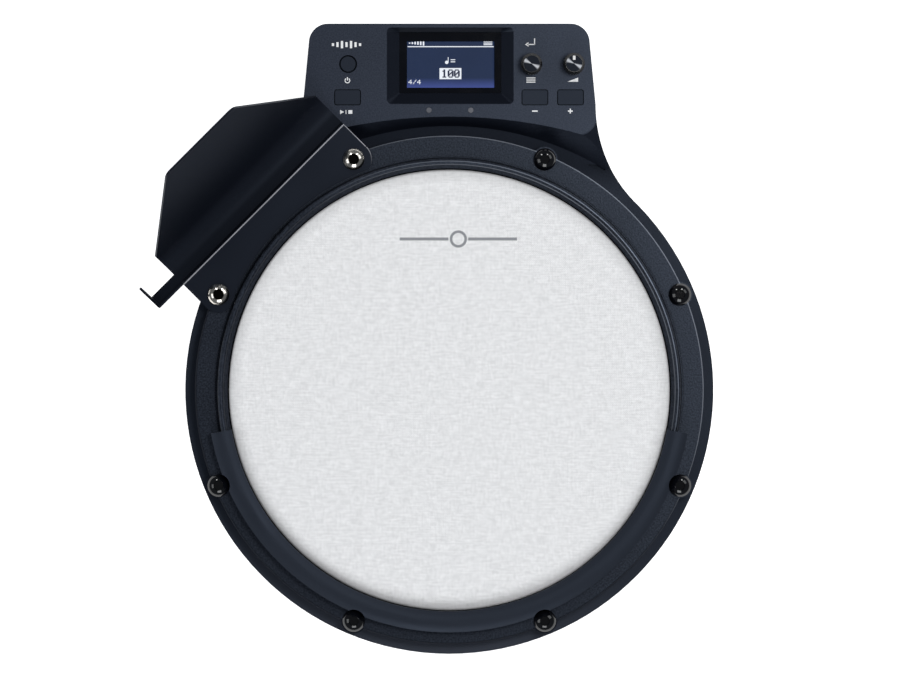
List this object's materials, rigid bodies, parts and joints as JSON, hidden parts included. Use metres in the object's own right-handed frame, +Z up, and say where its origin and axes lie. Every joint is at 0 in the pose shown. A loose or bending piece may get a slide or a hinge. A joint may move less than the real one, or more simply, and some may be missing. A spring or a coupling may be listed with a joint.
{
  "type": "electronic practice drum pad",
  "caption": "Round mesh-head practice pad with a bolted hoop, rubber rim guard, control module with a display, and a folded sheet-metal device rest.",
  "frame": {"origin": "mouth of the threaded stand insert, on the axis of the round body, level with the feet", "axes": "+Z up along the axis of the round body, out of the playing surface; +Y towards the control module; +X to the right as the player sees it"},
  "size_m": [0.3303, 0.3636, 0.0912],
  "materials": {
    "shell_plastic": "fine moulded grain",
    "base_plastic": "matte",
    "zinc_steel": "zinc plated",
    "black_rubber": "matte",
    "brass": "machined",
    "hoop_plastic": "moulded grain with a satin lip",
    "ring_aluminium": "satin",
    "woven_mesh": "plain weave",
    "guard_rubber": "smooth matte",
    "black_sheet": "satin black",
    "lens": "polished",
    "display": "lit",
    "circuit_board": "solder mask",
    "switch_metal": "stamped",
    "light_plastic": "plain",
    "knob_plastic": "turned face",
    "key_plastic": "matte",
    "light_pipe": "frosted",
    "jack_plastic": "plain",
    "socket_steel": "stamped",
    "plate_steel": "zinc plated",
    "foam": "open-cell foam",
    "black_bolt": "gloss black",
    "nickel_bolt": "nickel plated",
    "washer_steel": "blackened"
  },
  "bodies": {
    "body": {"upper_shell": "shell_plastic", "bottom_plate": "base_plastic", "case_screws": "zinc_steel", "rubber_feet": "black_rubber", "stand_insert": "brass", "bolt_inserts": "brass", "hoop": "hoop_plastic", "flesh_ring": "ring_aluminium", "mesh_head": "woven_mesh", "rim_guard": "guard_rubber", "device_rest": "black_sheet", "display_lens": "lens", "display_panel": "display", "main_board": "circuit_board", "board_screws": "zinc_steel", "encoder_body": "switch_metal", "volume_pot": "switch_metal", "button_switches": "switch_metal", "beat_lights": "light_pipe", "indicator_leds": "light_plastic", "headphone_jack": "jack_plastic", "audio_input_jack": "jack_plastic", "power_socket": "socket_steel", "sensor_plate": "plate_steel", "plate_screws": "zinc_steel", "sensor_pad": "foam", "head_sensor": "brass", "sensor_cone": "foam", "rim_sensor": "brass"},
    "menu_push": {"encoder_plunger": "light_plastic"},
    "menu_knob": {"menu_knob": "knob_plastic"},
    "volume_knob": {"volume_knob": "knob_plastic", "volume_pointer": "light_plastic"},
    "power_button": {"power_button": "key_plastic"},
    "play_button": {"play_button": "key_plastic"},
    "minus_button": {"minus_button": "key_plastic"},
    "plus_button": {"plus_button": "key_plastic"},
    "washer_1": {"bolt_washer_1": "washer_steel"},
    "bolt_1": {"tension_bolt_1": "black_bolt"},
    "washer_2": {"bolt_washer_2": "washer_steel"},
    "bolt_2": {"tension_bolt_2": "black_bolt"},
    "washer_3": {"bolt_washer_3": "washer_steel"},
    "bolt_3": {"tension_bolt_3": "nickel_bolt"},
    "washer_4": {"bolt_washer_4": "washer_steel"},
    "bolt_4": {"tension_bolt_4": "nickel_bolt"},
    "washer_5": {"bolt_washer_5": "washer_steel"},
    "bolt_5": {"tension_bolt_5": "black_bolt"},
    "washer_6": {"bolt_washer_6": "washer_steel"},
    "bolt_6": {"tension_bolt_6": "black_bolt"},
    "washer_7": {"bolt_washer_7": "washer_steel"},
    "bolt_7": {"tension_bolt_7": "black_bolt"},
    "washer_8": {"bolt_washer_8": "washer_steel"},
    "bolt_8": {"tension_bolt_8": "black_bolt"}
  },
  "joints": [
    {"name": "bolt_1_rise", "type": "slide", "parent": "body", "child": "washer_1", "axis": [0, 0, 1], "range_m": [0, 0.0016]},
    {"name": "bolt_1_turn", "type": "hinge", "parent": "washer_1", "child": "bolt_1", "pos_m": [0.13258, 0.05492, 0.05], "axis": [0, 0, 1], "range_deg": [0, 720]},
    {"name": "bolt_2_rise", "type": "slide", "parent": "body", "child": "washer_2", "axis": [0, 0, 1], "range_m": [0, 0.0016]},
    {"name": "bolt_2_turn", "type": "hinge", "parent": "washer_2", "child": "bolt_2", "pos_m": [0.05492, 0.13258, 0.05], "axis": [0, 0, 1], "range_deg": [0, 720]},
    {"name": "bolt_3_rise", "type": "slide", "parent": "body", "child": "washer_3", "axis": [0, 0, 1], "range_m": [0, 0.0016]},
    {"name": "bolt_3_turn", "type": "hinge", "parent": "washer_3", "child": "bolt_3", "pos_m": [-0.05492, 0.13258, 0.05], "axis": [0, 0, 1], "range_deg": [0, 720]},
    {"name": "bolt_4_rise", "type": "slide", "parent": "body", "child": "washer_4", "axis": [0, 0, 1], "range_m": [0, 0.0016]},
    {"name": "bolt_4_turn", "type": "hinge", "parent": "washer_4", "child": "bolt_4", "pos_m": [-0.13258, 0.05492, 0.05], "axis": [0, 0, 1], "range_deg": [0, 720]},
    {"name": "bolt_5_rise", "type": "slide", "parent": "body", "child": "washer_5", "axis": [0, 0, 1], "range_m": [0, 0.0016]},
    {"name": "bolt_5_turn", "type": "hinge", "parent": "washer_5", "child": "bolt_5", "pos_m": [-0.13258, -0.05492, 0.05], "axis": [0, 0, 1], "range_deg": [0, 720]},
    {"name": "bolt_6_rise", "type": "slide", "parent": "body", "child": "washer_6", "axis": [0, 0, 1], "range_m": [0, 0.0016]},
    {"name": "bolt_6_turn", "type": "hinge", "parent": "washer_6", "child": "bolt_6", "pos_m": [-0.05492, -0.13258, 0.05], "axis": [0, 0, 1], "range_deg": [0, 720]},
    {"name": "bolt_7_rise", "type": "slide", "parent": "body", "child": "washer_7", "axis": [0, 0, 1], "range_m": [0, 0.0016]},
    {"name": "bolt_7_turn", "type": "hinge", "parent": "washer_7", "child": "bolt_7", "pos_m": [0.05492, -0.13258, 0.05], "axis": [0, 0, 1], "range_deg": [0, 720]},
    {"name": "bolt_8_rise", "type": "slide", "parent": "body", "child": "washer_8", "axis": [0, 0, 1], "range_m": [0, 0.0016]},
    {"name": "bolt_8_turn", "type": "hinge", "parent": "washer_8", "child": "bolt_8", "pos_m": [0.13258, -0.05492, 0.05], "axis": [0, 0, 1], "range_deg": [0, 720]},
    {"name": "menu_press", "type": "slide", "parent": "body", "child": "menu_push", "axis": [0, 0, -1], "range_m": [0, 0.0005], "stiffness_N_per_m": 2000},
    {"name": "menu_turn", "type": "hinge", "parent": "menu_push", "child": "menu_knob", "pos_m": [0.0473, 0.1874, 0.05], "axis": [0, 0, 1], "continuous": true},
    {"name": "volume_turn", "type": "hinge", "parent": "body", "child": "volume_knob", "pos_m": [0.0717, 0.1875, 0.05], "axis": [0, 0, 1], "range_deg": [-150, 150]},
    {"name": "power_press", "type": "slide", "parent": "body", "child": "power_button", "axis": [0, 0, -1], "range_m": [0, 0.0007], "stiffness_N_per_m": 1500},
    {"name": "play_press", "type": "slide", "parent": "body", "child": "play_button", "axis": [0, 0, -1], "range_m": [0, 0.0007], "stiffness_N_per_m": 1500},
    {"name": "minus_press", "type": "slide", "parent": "body", "child": "minus_button", "axis": [0, 0, -1], "range_m": [0, 0.0007], "stiffness_N_per_m": 1500},
    {"name": "plus_press", "type": "slide", "parent": "body", "child": "plus_button", "axis": [0, 0, -1], "range_m": [0, 0.0007], "stiffness_N_per_m": 1500}
  ],
  "couplings": [
    {"joint": "bolt_1_turn", "follows": "bolt_1_rise", "rad_per_m": 7854},
    {"joint": "bolt_2_turn", "follows": "bolt_2_rise", "rad_per_m": 7854},
    {"joint": "bolt_3_turn", "follows": "bolt_3_rise", "rad_per_m": 7854},
    {"joint": "bolt_4_turn", "follows": "bolt_4_rise", "rad_per_m": 7854},
    {"joint": "bolt_5_turn", "follows": "bolt_5_rise", "rad_per_m": 7854},
    {"joint": "bolt_6_turn", "follows": "bolt_6_rise", "rad_per_m": 7854},
    {"joint": "bolt_7_turn", "follows": "bolt_7_rise", "rad_per_m": 7854},
    {"joint": "bolt_8_turn", "follows": "bolt_8_rise", "rad_per_m": 7854}
  ]
}
